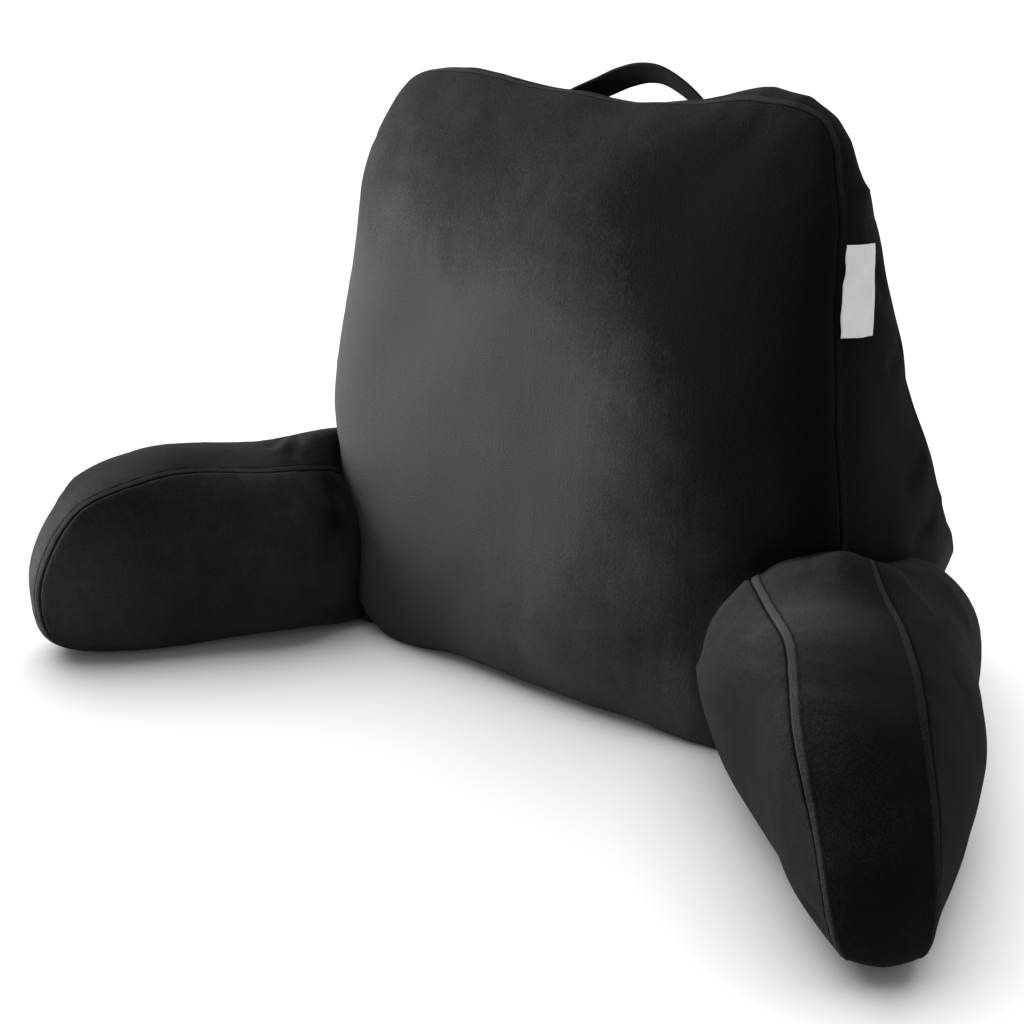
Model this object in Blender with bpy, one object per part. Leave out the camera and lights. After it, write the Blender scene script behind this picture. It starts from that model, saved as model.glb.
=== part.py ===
"""A reading pillow with arms: a stuffed wedge-shaped back that stands on a flat underside, two stuffed
arms sewn to its lower front corners, a carrying strap on its top edge and a bare tag in its side seam.

Metres, +Z up. The sitter leans on the side that faces -Y, and the arms reach towards -Y and to both
sides. The origin is on the floor, at the middle of the back's flat underside.

Every stuffed form here is boxed: two crowned panels of the same outline with a boxing strip between
them. The outline lies in a plane, and the depth runs across that plane. A form is an array of rings of
points: the first ring is the pole of one panel, the next ones spread over that panel to its seam, cross
the strip to the other seam, and close at the pole of the other panel.
"""

import math

import bmesh
import bpy
import numpy as np
from mathutils import Vector
from mathutils.bvhtree import BVHTree
from mathutils.geometry import intersect_point_line

# ---------------------------------------------------------------------------------------------------
# Driving sizes
# ---------------------------------------------------------------------------------------------------
PIECE_GAP = 0.0007  # clear space between a piece and the back that it is sewn to
SHARP_ANGLE = math.radians(50)  # edges that turn by more than this stay crisp

# Seams: the panel and the strip meet in a felled band that stands a little proud of both
SEAM_HALF_WIDTH = 0.0035
SEAM_RISE = 0.0014

# How a stuffed panel swells from its seam (ring 1) to its pole (ring 0): how flat it is in the middle, and
# how steep at the seam
BACK_SWELL = (3.0, 2.0)
ARM_SWELL = (2.3, 1.5)
PANEL_SQUARING = 1.5  # the rings are ellipses near the pole, and take the seam's outline towards it
PANEL_RINGS = (0.0, 0.24, 0.45, 0.63, 0.78, 0.89, 0.96)
STRIP_SHARES = (0.0, 0.25, 0.5, 0.75, 1.0)  # between the two felled bands

# Back
BACK_MIDDLE_Y = 0.144  # from the tables' zero, near the front bottom seam, to the underside's middle
BACK_POLE = (0.0, 0.205)  # x, z
BACK_STEPS = 116
# The top slopes down behind BACK_DROP_FROM, but not at its +X end: places along x, and the slope at each
BACK_DROP_PLACES = (-0.12, 0.03, 0.12)
BACK_DROPS = (0.30, 0.38, 0.0)
BACK_DROP_FROM = 0.095  # from the tables' zero
BACK_DROP_HEIGHTS = (0.38, 0.44)  # none of the slope below the first, and all of it above the second

# Right half of the back's seam outline, from the floor to the middle of the dipped top edge: x, z
BACK_OUTLINE = (
    (0.000, 0.000),
    (0.090, 0.000),
    (0.176, 0.000),
    (0.206, 0.018),
    (0.222, 0.060),
    (0.236, 0.120),
    (0.2335, 0.180),
    (0.2215, 0.260),
    (0.2135, 0.330),
    (0.202, 0.410),
    (0.179, 0.455),
    (0.131, 0.4635),
    (0.075, 0.4576),
    (0.000, 0.4551),
)
# height, front seam's y, rear seam's y, front panel's crown, rear panel's crown, strip's crown
BACK_DEPTH = (
    (0.00, 0.024, 0.264, 0.052, 0.029, 0.0085),
    (0.05, 0.038, 0.256, 0.060, 0.029, 0.0085),
    (0.10, 0.047, 0.244, 0.062, 0.029, 0.0085),
    (0.15, 0.056, 0.215, 0.060, 0.029, 0.0085),
    (0.20, 0.051, 0.188, 0.052, 0.028, 0.0085),
    (0.30, 0.060, 0.148, 0.047, 0.027, 0.0085),
    (0.40, 0.078, 0.122, 0.042, 0.026, 0.0060),
    (0.46, 0.102, 0.130, 0.036, 0.020, 0.0035),
)

# Arms. The arm at +X is the one described, and the other mirrors it.
ARM_SPLAY = math.radians(36.7)  # each arm turns out from straight ahead by this
ARM_ROOT = (0.219, 0.050)  # x and y, from the tables' zero, of the point where its lengths start
ARM_LEAN = 0.0925  # it leans inwards, by this much for each metre above the next height
ARM_LEAN_HEIGHT = 0.07
ARM_HEIGHT = 0.155  # of the top, where its tilt is the one in ARM_SET
ARM_POLE = (0.06, 0.075)  # length, z
ARM_STEPS = 62

# Outline of an arm's panels, from its heel inside the back, along the floor, up the front and back
# along the top: length, z
ARM_OUTLINE = (
    (-0.150, 0.060),
    (-0.120, 0.010),
    (-0.060, 0.000),
    (0.080, 0.000),
    (0.195, 0.000),
    (0.239, 0.003),
    (0.269, 0.023),
    (0.277, 0.064),
    (0.262, 0.110),
    (0.235, 0.146),
    (0.181, 0.1605),
    (0.070, 0.1535),
    (-0.030, 0.147),
    (-0.110, 0.128),
    (-0.145, 0.105),
)
# length, inner seam's place across, outer seam's, inner panel's crown, outer panel's crown, strip's crown
ARM_DEPTH = (
    (-0.15, -0.0440, 0.0380, 0.034, 0.116, 0.023),
    (-0.03, -0.0430, 0.0380, 0.040, 0.095, 0.023),
    (0.03, -0.0420, 0.0400, 0.047, 0.072, 0.016),
    (0.08, -0.0390, 0.0415, 0.0475, 0.058, 0.010),
    (0.13, -0.0360, 0.0405, 0.043, 0.050, 0.007),
    (0.18, -0.0405, 0.0360, 0.034, 0.040, 0.006),
    (0.23, -0.0460, 0.0290, 0.029, 0.030, 0.006),
    (0.28, -0.0450, 0.0260, 0.014, 0.012, 0.006),
)
# length, how much the top rises for each metre towards the inner side, share by which the arm is narrower
# at the floor, where its weight draws it in, and the height over which that fades
ARM_SET = (
    (0.00, 0.00, 0.25, 0.018),
    (0.10, 0.08, 0.25, 0.018),
    (0.18, 0.08, 0.30, 0.020),
    (0.24, 0.08, 0.55, 0.025),
    (0.28, 0.08, 0.68, 0.027),
)

# Carrying strap: a flat band that arches over the top edge and leans towards the front
STRAP_WIDTH = 0.022
STRAP_THICKNESS = 0.003
STRAP_LEAN = math.radians(45.0)
STRAP_Y = -0.016  # of its middle line
STRAP_STEPS = 34
STRAP_EDGE = 0.0008  # its rounded edges
# Its middle line, from one sewn-in end to the other: x, z
STRAP_LINE = (
    (-0.075, 0.4210),
    (-0.058, 0.4345),
    (-0.040, 0.4452),
    (-0.018, 0.4552),
    (0.001, 0.4636),
    (0.018, 0.4680),
    (0.031, 0.4678),
    (0.046, 0.4622),
    (0.062, 0.4520),
    (0.077, 0.4375),
    (0.087, 0.4230),
)

# Tag: a strip of satin caught along one long edge in the front seam of the +X side
TAG_TOP_Z = 0.378
TAG_HEIGHT = 0.060
TAG_WIDTH = 0.031
TAG_THICKNESS = 0.001
TAG_DROP = 0.005  # its free edge hangs lower than its sewn one by this
TAG_LIFT = 0.0008  # clear space between it and the strip that it lies on
TAG_WAVE = 0.0018  # its foot is a little curled
TAG_STEPS = (6, 10)  # across, along

# Soft troughs in the stuffed forms: each runs from one point to another
FOLD_COLUMNS = ("from_point", "to_point", "half_width", "depth")
BACK_FOLDS = (
    # in the boxing strips, where the sides taper
    ((0.240, -0.014, 0.188), (0.234, 0.033, 0.197), 0.009, 0.0035),
    ((0.243, -0.001, 0.141), (0.240, 0.054, 0.137), 0.009, 0.0040),
    ((0.222, -0.037, 0.361), (0.222, -0.022, 0.330), 0.007, 0.0030),
    ((0.230, -0.028, 0.280), (0.221, 0.008, 0.292), 0.009, 0.0030),
    ((-0.240, -0.002, 0.165), (-0.236, 0.043, 0.176), 0.009, 0.0035),
    ((-0.228, -0.034, 0.296), (-0.219, 0.002, 0.310), 0.009, 0.0030),
    # over the rear upper corner
    ((0.165, -0.010, 0.470), (0.210, -0.017, 0.408), 0.034, 0.0075),
    # across the upper corners of the front panel
    ((-0.156, -0.052, 0.446), (-0.095, -0.070, 0.424), 0.012, 0.0025),
    ((-0.186, -0.061, 0.422), (-0.119, -0.089, 0.395), 0.013, 0.0025),
    ((0.144, -0.044, 0.456), (0.126, -0.071, 0.423), 0.012, 0.0025),
    ((0.175, -0.056, 0.436), (0.164, -0.078, 0.405), 0.012, 0.0020),
)
ARM_FOLDS = {
    "arm_left": (
        # across the strip near the back
        ((-0.252, -0.165, 0.160), (-0.264, -0.133, 0.158), 0.008, 0.0025),
        ((-0.234, -0.159, 0.159), (-0.251, -0.127, 0.158), 0.007, 0.0025),
        # down the inner panel beside the back
        ((-0.189, -0.159, 0.149), (-0.171, -0.175, 0.100), 0.009, 0.0050),
        ((-0.195, -0.188, 0.132), (-0.184, -0.188, 0.088), 0.010, 0.0030),
    ),
    "arm_right": (
        ((0.227, -0.152, 0.158), (0.244, -0.126, 0.159), 0.008, 0.0025),
        ((0.150, -0.132, 0.155), (0.130, -0.150, 0.090), 0.035, 0.0110),
        ((0.175, -0.170, 0.140), (0.165, -0.175, 0.090), 0.009, 0.0035),
        # down the outer panel, and a pucker at the foot of the inner front seam
        ((0.345, -0.165, 0.142), (0.359, -0.163, 0.118), 0.010, 0.0030),
        ((0.327, -0.315, 0.042), (0.347, -0.331, 0.046), 0.008, 0.0040),
    ),
}

# Where an arm's root is drawn back and down to the back's side seam: how far the cloth moves there
PULL_COLUMNS = ("from_point", "to_point", "half_width", "move")
ARM_PULLS = {
    "arm_left": (((-0.186, -0.124, 0.185), (-0.172, -0.128, 0.010), 0.052, (-0.039, 0.0425, -0.0255)),),
    "arm_right": (),
}


# ---------------------------------------------------------------------------------------------------
# Smooth curves through short tables
# ---------------------------------------------------------------------------------------------------
def slopes_at(knots, values):
    """Slopes of a smooth curve at its knots, each from the knot's two neighbours."""
    steps = np.diff(knots)[:, None]
    rises = np.diff(values, axis=0) / steps
    inner = (rises[:-1] * steps[1:] + rises[1:] * steps[:-1]) / (steps[:-1] + steps[1:])
    return np.vstack([rises[:1], inner, rises[-1:]])


def smooth_at(knots, values, places):
    """The smooth curve's values at the given places, held level past its ends."""
    places = np.clip(places, knots[0], knots[-1])
    slopes = slopes_at(knots, values)
    row = np.clip(np.searchsorted(knots, places, side="right") - 1, 0, len(knots) - 2)
    span = (knots[row + 1] - knots[row])[:, None]
    share = (places - knots[row])[:, None] / span
    rise = values[row + 1] - values[row]
    bend_in = slopes[row] * span - rise
    bend_out = rise - slopes[row + 1] * span
    return values[row] + share * rise + share * (1 - share) * (bend_in * (1 - share) + bend_out * share)


def lengths_along(points):
    """How far along its line each point lies."""
    return np.concatenate([[0.0], np.cumsum(np.linalg.norm(np.diff(points, axis=0), axis=1))])


def even_points(points, count, first=0, last=-1):
    """count points, evenly spread over a smooth curve from one of the given points to another."""
    knots = lengths_along(points)
    fine_count = 20 * len(points)
    fine = smooth_at(knots, points, np.linspace(knots[first], knots[last], fine_count))
    run = lengths_along(fine)
    even = np.linspace(0, run[-1], count)
    return np.column_stack([np.interp(even, run, column) for column in fine.T])


def back_outline():
    """The back's closed outline, counter-clockwise from the middle of the floor: x, z."""
    half = even_points(np.array(BACK_OUTLINE), BACK_STEPS // 2 + 1)
    mirrored = half[::-1] * (-1, 1)
    return np.vstack([half[:-1], mirrored[:-1]])


def arm_outline():
    """An arm's closed outline, counter-clockwise: length, z. It runs on past both ends to stay smooth."""
    overlap = 2
    table = np.array(ARM_OUTLINE)
    closed = np.vstack([table[-overlap:], table, table[: overlap + 1]])
    return even_points(closed, ARM_STEPS + 1, overlap, -overlap - 1)[:-1]


# ---------------------------------------------------------------------------------------------------
# Boxed stuffed forms
# ---------------------------------------------------------------------------------------------------
def outward(outline):
    """Unit directions out of a counter-clockwise outline."""
    along = np.roll(outline, -1, axis=0) - np.roll(outline, 1, axis=0)
    out = np.column_stack([along[:, 1], -along[:, 0]])
    return out / np.linalg.norm(out, axis=1)[:, None]


def boxed_form(outline, pole, depth_table, depth_column, swell):
    """Rings of points over a stuffed form: an array of ring, step and (first, depth, z).

    The depth table is read by one column of the outline's points: 0 is the first, 1 is z. After that
    column it holds the two seams' places, the two panels' crowns and the strip's crown.
    """
    table = np.array(depth_table)
    flatness, steepness = swell
    out = outward(outline)
    from_pole = outline - pole
    reach = np.linalg.norm(from_pole, axis=1)
    radii = np.abs(from_pole).max(axis=0)
    ellipse = from_pole / np.linalg.norm(from_pole / radii, axis=1)[:, None]

    def depths(places):
        return smooth_at(table[:, 0], table[:, 1:], places[:, depth_column])

    def panel(side, ring):
        squareness = ring[:, None] ** PANEL_SQUARING
        places = pole + ring[:, None] * (ellipse + (from_pole - ellipse) * squareness)
        here = depths(places)
        out_of_seams = here[:, side + 2] * (1 - ring**flatness) ** (1 / steepness)
        return np.column_stack([places[:, 0], here[:, side] + out_of_seams * (2 * side - 1), places[:, 1]])

    def strip(share):
        here = depths(outline)
        places = outline + out * (here[:, 4] * 4 * share * (1 - share))[:, None]
        across = here[:, 0] + (here[:, 1] - here[:, 0]) * share
        return np.column_stack([places[:, 0], across, places[:, 1]])

    def seam(side):
        here = depths(outline)
        places = outline + out * SEAM_RISE
        return np.column_stack([places[:, 0], here[:, side] + SEAM_RISE * (2 * side - 1), places[:, 1]])

    width = depths(outline)[:, 1] - depths(outline)[:, 0]
    felled = SEAM_HALF_WIDTH / width
    felled_ring = 1 - SEAM_HALF_WIDTH / reach
    rings = [panel(0, np.full(len(outline), ring)) for ring in PANEL_RINGS]
    rings += [panel(0, felled_ring), seam(0)]
    rings += [strip(felled + share * (1 - 2 * felled)) for share in STRIP_SHARES]
    rings += [seam(1), panel(1, felled_ring)]
    rings += [panel(1, np.full(len(outline), ring)) for ring in reversed(PANEL_RINGS)]
    return np.array(rings)


def back_form():
    """The back's rings in the object's frame."""
    form = boxed_form(back_outline(), np.array(BACK_POLE), BACK_DEPTH, 1, BACK_SWELL)
    x, depth, height = form[..., 0], form[..., 1], form[..., 2]
    slope = np.interp(x, BACK_DROP_PLACES, BACK_DROPS) * np.interp(height, BACK_DROP_HEIGHTS, (0, 1))
    height -= slope * np.maximum(depth - BACK_DROP_FROM, 0)
    return form - (0, BACK_MIDDLE_Y, 0)


def arm_form(side):
    """One arm's rings in the object's frame. side is 1 for the arm at +X, and -1 for the other."""
    form = boxed_form(arm_outline(), np.array(ARM_POLE), ARM_DEPTH, 0, ARM_SWELL)
    length, across, height = form[..., 0], form[..., 1], form[..., 2]
    table = np.array(ARM_SET)
    at_lengths = smooth_at(table[:, 0], table[:, 1:], length.ravel())
    tilt, tuck, tuck_height = at_lengths.T.reshape(3, *length.shape)
    across = across * (1 - tuck * np.exp(-height / tuck_height))
    height = height * (1 - tilt * across / ARM_HEIGHT)
    across = across - ARM_LEAN * (height - ARM_LEAN_HEIGHT)
    x = ARM_ROOT[0] + length * math.sin(ARM_SPLAY) + across * math.cos(ARM_SPLAY)
    y = ARM_ROOT[1] - length * math.cos(ARM_SPLAY) + across * math.sin(ARM_SPLAY)
    return np.stack([side * x, y - BACK_MIDDLE_Y, height], axis=-1)


# ---------------------------------------------------------------------------------------------------
# Meshes and materials
# ---------------------------------------------------------------------------------------------------
def finish(name, colour, roughness):
    """A plain cloth material."""
    material = bpy.data.materials.new(name)
    material.use_nodes = True
    shader = material.node_tree.nodes["Principled BSDF"]
    shader.inputs["Base Color"].default_value = (*colour, 1)
    shader.inputs["Roughness"].default_value = roughness
    shader.inputs["Metallic"].default_value = 0
    material.diffuse_color = (*colour, 1)
    return material


def add_object(name, mesh, material):
    """A smooth-shaded object of the scene."""
    mesh.materials.append(material)
    mesh.shade_smooth()
    mesh.set_sharp_from_angle(angle=SHARP_ANGLE)
    thing = bpy.data.objects.new(name, mesh)
    bpy.context.collection.objects.link(thing)
    return thing


def ringed_mesh(name, rings, capped):
    """A closed mesh over rings of points. Its two end rings are poles, or flat caps where capped."""
    bm = bmesh.new()
    if capped:
        loops = [[bm.verts.new(point) for point in ring] for ring in rings]
        bm.faces.new(loops[0][::-1])
        bm.faces.new(loops[-1])
    else:
        loops = [[bm.verts.new(point) for point in ring] for ring in rings[1:-1]]
    steps = len(loops[0])
    for ring, following in zip(loops, loops[1:]):
        for i in range(steps):
            j = (i + 1) % steps
            bm.faces.new((ring[i], ring[j], following[j], following[i]))
    if not capped:
        first_pole = bm.verts.new(rings[0][0])
        last_pole = bm.verts.new(rings[-1][0])
        for i in range(steps):
            j = (i + 1) % steps
            bm.faces.new((first_pole, loops[0][j], loops[0][i]))
            bm.faces.new((last_pole, loops[-1][i], loops[-1][j]))
    bmesh.ops.recalc_face_normals(bm, faces=bm.faces)
    mesh = bpy.data.meshes.new(name)
    bm.to_mesh(mesh)
    bm.free()
    return mesh


def nearness(place, row):
    """1 on the line of a fold or pull, fading out to its sides and towards its ends."""
    start, stop = Vector(row["from_point"]), Vector(row["to_point"])
    _, share = intersect_point_line(place, start, stop)
    share = min(max(share, 0), 1)
    away = (place - start.lerp(stop, share)).length / row["half_width"]
    return (1 - (2 * share - 1) ** 4) * math.exp(-(away**2))


def press_folds(mesh, folds):
    """Press soft troughs into a stuffed form."""
    places = [vertex.co.copy() for vertex in mesh.vertices]
    normals = [vertex.normal.copy() for vertex in mesh.vertices]
    for values in folds:
        fold = dict(zip(FOLD_COLUMNS, values))
        for vertex, place, normal in zip(mesh.vertices, places, normals):
            vertex.co -= normal * fold["depth"] * nearness(place, fold)


def pull_root(mesh, pulls):
    """Draw the root of an arm towards the seam that holds it."""
    for values in pulls:
        pull = dict(zip(PULL_COLUMNS, values))
        for vertex in mesh.vertices:
            vertex.co += Vector(pull["move"]) * nearness(vertex.co, pull)


def rest_on_floor(mesh):
    """Flatten what reaches below the floor."""
    for vertex in mesh.vertices:
        vertex.co.z = max(vertex.co.z, 0)


def split_quads(mesh):
    """Split a mesh's bent quads, so that a copy grown from it bends along the same lines."""
    bm = bmesh.new()
    bm.from_mesh(mesh)
    bmesh.ops.triangulate(bm, faces=bm.faces)
    bm.to_mesh(mesh)
    bm.free()


# ---------------------------------------------------------------------------------------------------
# Pieces
# ---------------------------------------------------------------------------------------------------
def add_back(velvet):
    """The stuffed back: front panel, rear panel and the strip between them."""
    mesh = ringed_mesh("backrest", back_form(), capped=False)
    press_folds(mesh, BACK_FOLDS)
    rest_on_floor(mesh)
    split_quads(mesh)
    return add_object("backrest", mesh, velvet)


def add_back_cutter(back):
    """The back grown evenly by the gap to its neighbours, to cut them with."""
    bm = bmesh.new()
    bm.from_mesh(back.data)
    bm.normal_update()
    moves = [vertex.normal * PIECE_GAP * vertex.calc_shell_factor() for vertex in bm.verts]
    for vertex, move in zip(bm.verts, moves):
        vertex.co += move
    mesh = bpy.data.meshes.new("back_cutter")
    bm.to_mesh(mesh)
    bm.free()
    cutter = bpy.data.objects.new("back_cutter", mesh)
    bpy.context.collection.objects.link(cutter)
    cutter.hide_render = True
    cutter.display_type = "WIRE"
    return cutter


def cut_by_back(thing, cutter):
    """Cut away what would lie inside the back, so that the piece ends on the back's surface."""
    cut = thing.modifiers.new("sewn to the back", "BOOLEAN")
    cut.operation = "DIFFERENCE"
    cut.solver = "MANIFOLD"
    cut.object = cutter


def add_arm(name, side, velvet, cutter):
    """A stuffed arm, closed against the back's front panel and its side strip."""
    mesh = ringed_mesh(name, arm_form(side), capped=False)
    pull_root(mesh, ARM_PULLS[name])
    press_folds(mesh, ARM_FOLDS[name])
    rest_on_floor(mesh)
    arm = add_object(name, mesh, velvet)
    cut_by_back(arm, cutter)


def add_strap(velvet, cutter):
    """The carrying strap, its ends cut off where they enter the back's rear top seam."""
    line = even_points(np.array(STRAP_LINE), STRAP_STEPS)
    along = np.gradient(line, axis=0)
    along /= np.linalg.norm(along, axis=1)[:, None]
    half_width, half_thickness = STRAP_WIDTH / 2, STRAP_THICKNESS / 2
    flat_width, flat_thickness = half_width - STRAP_EDGE, half_thickness - STRAP_EDGE
    section = (
        (-half_width, -flat_thickness),
        (-flat_width, -half_thickness),
        (0, -half_thickness),
        (flat_width, -half_thickness),
        (half_width, -flat_thickness),
        (half_width, flat_thickness),
        (flat_width, half_thickness),
        (0, half_thickness),
        (-flat_width, half_thickness),
        (-half_width, flat_thickness),
    )
    rings = []
    for (x, z), (along_x, along_z) in zip(line, along):
        middle = np.array((x, STRAP_Y, z))
        up = np.array((-along_z, 0, along_x))
        back_to_front = np.array((0, -1, 0))
        across = up * math.cos(STRAP_LEAN) + back_to_front * math.sin(STRAP_LEAN)
        through = np.cross((along_x, 0, along_z), across)
        rings.append([middle + across * w + through * t for w, t in section])
    strap = add_object("carry_handle", ringed_mesh("carry_handle", rings, capped=True), velvet)
    cut_by_back(strap, cutter)


def add_tag(back, satin):
    """The bare tag. Each of its points rests on the strip, found by looking at the side from +X."""
    surface = BVHTree.FromObject(back, bpy.context.evaluated_depsgraph_get())
    table = np.array(BACK_DEPTH)
    across_steps, along_steps = TAG_STEPS

    def resting(across, down):
        height = TAG_TOP_Z - down * TAG_HEIGHT
        seam_y = smooth_at(table[:, 0], table[:, 1:2], np.array([height]))[0, 0] - BACK_MIDDLE_Y
        y = seam_y + SEAM_HALF_WIDTH + across * TAG_WIDTH
        z = height - TAG_DROP * across
        hit, normal, _, _ = surface.ray_cast(Vector((1, y, z)), Vector((-1, 0, 0)))
        wave = TAG_WAVE * down**3 * (1 - math.cos(2 * math.pi * across)) / 2
        return hit + normal * (TAG_LIFT + wave), normal

    rings = []
    for i in range(along_steps + 1):
        under, over = [], []
        for j in range(across_steps + 1):
            point, normal = resting(j / across_steps, i / along_steps)
            under.append(point)
            over.append(point + normal * TAG_THICKNESS)
        rings.append(under + over[::-1])
    add_object("side_tag", ringed_mesh("side_tag", rings, capped=True), satin)


def main():
    for thing in list(bpy.data.objects):
        bpy.data.objects.remove(thing, do_unlink=True)
    velvet = finish("charcoal velvet", (0.022, 0.022, 0.023), 0.85)
    strap_velvet = finish("strap velvet", (0.016, 0.016, 0.017), 0.8)
    satin = finish("tag satin", (0.62, 0.62, 0.61), 0.45)
    back = add_back(velvet)
    cutter = add_back_cutter(back)
    add_arm("arm_right", 1, velvet, cutter)
    add_arm("arm_left", -1, velvet, cutter)
    add_strap(strap_velvet, cutter)
    add_tag(back, satin)


main()
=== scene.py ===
"""Looks of a reading pillow with arms: a stuffed velvet back, two stuffed arms sewn to it, a carrying
strap on its top edge and a bare satin tag in its side seam, on a pale studio floor.

Metres, +Z up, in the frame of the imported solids. Each stuffed piece is boxed: two crowned panels of the
same outline with a boxing strip between them, joined by felled and topstitched seams. A piece is made as
a grid of points, ring by ring from the pole of one panel over the strip to the pole of the other.
"""

import math
from contextlib import contextmanager

import bmesh
import bpy
import numpy as np
from bpy.props import FloatProperty, FloatVectorProperty, PointerProperty
from mathutils import Matrix, Vector
from mathutils.bvhtree import BVHTree
from mathutils.kdtree import KDTree


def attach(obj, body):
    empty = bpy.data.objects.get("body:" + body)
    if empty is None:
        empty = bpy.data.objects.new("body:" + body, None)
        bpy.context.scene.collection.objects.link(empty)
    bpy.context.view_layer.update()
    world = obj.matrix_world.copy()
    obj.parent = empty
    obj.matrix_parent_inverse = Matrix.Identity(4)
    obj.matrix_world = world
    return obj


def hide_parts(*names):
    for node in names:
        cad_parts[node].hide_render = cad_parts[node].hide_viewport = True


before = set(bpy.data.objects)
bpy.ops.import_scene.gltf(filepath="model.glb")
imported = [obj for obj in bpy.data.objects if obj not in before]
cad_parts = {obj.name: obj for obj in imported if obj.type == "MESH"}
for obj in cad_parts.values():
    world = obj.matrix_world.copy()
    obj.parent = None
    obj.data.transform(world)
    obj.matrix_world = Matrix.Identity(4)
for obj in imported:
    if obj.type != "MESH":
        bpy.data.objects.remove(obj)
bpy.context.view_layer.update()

bl_info = {
    "name": "Reading pillow with arms",
    "version": (1, 0, 0),
    "blender": (4, 5, 0),
    "location": "3D View > Sidebar > Pillow",
    "description": "Sews and stuffs a velvet reading pillow with two arms, a strap and a bare tag",
    "category": "Add Mesh",
}

ROOT = "root"

# --- Patterns of the stuffed pieces ---
# How a stuffed panel swells from its seam to its pole: how flat it is in the middle, how steep at the seam
BACK_SWELL = (3.0, 2.0)
ARM_SWELL = (2.3, 1.5)
PANEL_SQUARING = 1.5  # a panel is elliptic near its pole, and takes its seam's outline towards it

BACK_MIDDLE_Y = 0.144
BACK_POLE = (0.0, 0.205)
BACK_STEPS = 620
# The top slopes down behind BACK_DROP_FROM, but not at its +X end: places along x, and the slope at each
BACK_DROP_PLACES = (-0.12, 0.03, 0.12)
BACK_DROPS = (0.30, 0.38, 0.0)
BACK_DROP_FROM = 0.095
BACK_DROP_HEIGHTS = (0.38, 0.44)  # none of the slope below the first, and all of it above the second
# Right half of the back's seam outline, from the floor to the middle of the dipped top edge: x, z
BACK_OUTLINE = (
    (0.000, 0.000),
    (0.090, 0.000),
    (0.176, 0.000),
    (0.206, 0.018),
    (0.222, 0.060),
    (0.236, 0.120),
    (0.2335, 0.180),
    (0.2215, 0.260),
    (0.2135, 0.330),
    (0.202, 0.410),
    (0.179, 0.455),
    (0.131, 0.4635),
    (0.075, 0.4576),
    (0.000, 0.4551),
)
# height, front seam's y, rear seam's y, front panel's crown, rear panel's crown, strip's crown
BACK_DEPTH = (
    (0.00, 0.024, 0.264, 0.052, 0.029, 0.0085),
    (0.05, 0.038, 0.256, 0.060, 0.029, 0.0085),
    (0.10, 0.047, 0.244, 0.062, 0.029, 0.0085),
    (0.15, 0.056, 0.215, 0.060, 0.029, 0.0085),
    (0.20, 0.051, 0.188, 0.052, 0.028, 0.0085),
    (0.30, 0.060, 0.148, 0.047, 0.027, 0.0085),
    (0.40, 0.078, 0.122, 0.042, 0.026, 0.0060),
    (0.46, 0.102, 0.130, 0.036, 0.020, 0.0035),
)

ARM_SPLAY = math.radians(36.7)
ARM_ROOT = (0.219, 0.050)
ARM_LEAN = 0.0925
ARM_LEAN_HEIGHT = 0.07
ARM_HEIGHT = 0.155
ARM_POLE = (0.06, 0.075)
ARM_STEPS = 380
# Outline of an arm's panels, from its heel inside the back, along the floor, up the front and back
# along the top: length, z
ARM_OUTLINE = (
    (-0.150, 0.060),
    (-0.120, 0.010),
    (-0.060, 0.000),
    (0.080, 0.000),
    (0.195, 0.000),
    (0.239, 0.003),
    (0.269, 0.023),
    (0.277, 0.064),
    (0.262, 0.110),
    (0.235, 0.146),
    (0.181, 0.1605),
    (0.070, 0.1535),
    (-0.030, 0.147),
    (-0.110, 0.128),
    (-0.145, 0.105),
)
# length, inner seam's place across, outer seam's, inner panel's crown, outer panel's crown, strip's crown
ARM_DEPTH = (
    (-0.15, -0.0440, 0.0380, 0.034, 0.116, 0.023),
    (-0.03, -0.0430, 0.0380, 0.040, 0.095, 0.023),
    (0.03, -0.0420, 0.0400, 0.047, 0.072, 0.016),
    (0.08, -0.0390, 0.0415, 0.0475, 0.058, 0.010),
    (0.13, -0.0360, 0.0405, 0.043, 0.050, 0.007),
    (0.18, -0.0405, 0.0360, 0.034, 0.040, 0.006),
    (0.23, -0.0460, 0.0290, 0.029, 0.030, 0.006),
    (0.28, -0.0450, 0.0260, 0.014, 0.012, 0.006),
)
# length, how much the top rises for each metre towards the inner side, share by which the arm is narrower
# at the floor, where its weight draws it in, and the height over which that fades
ARM_SET = (
    (0.00, 0.00, 0.25, 0.018),
    (0.10, 0.08, 0.25, 0.018),
    (0.18, 0.08, 0.30, 0.020),
    (0.24, 0.08, 0.55, 0.025),
    (0.28, 0.08, 0.68, 0.027),
)

# How the grid is spread across a piece: fine at the seams, and coarser away from them
PANEL_SAMPLES = 90
STRIP_SAMPLES = 40
PANEL_RINGS = 22
STRIP_RINGS = 14
SEAM_NEAR = 0.005
SEAM_FAR = 0.016
NEAR_RINGS = 11
FAR_RINGS = 6
STRIP_SHARE = 0.49  # of the strip's width that the fine rings beside each seam may take up
FINE_STEPS = 20  # for each point of a table, where a curve's length is measured
CORNER_REACH = 0.007  # the cloth turns the corner at a seam over this much on both sides

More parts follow.
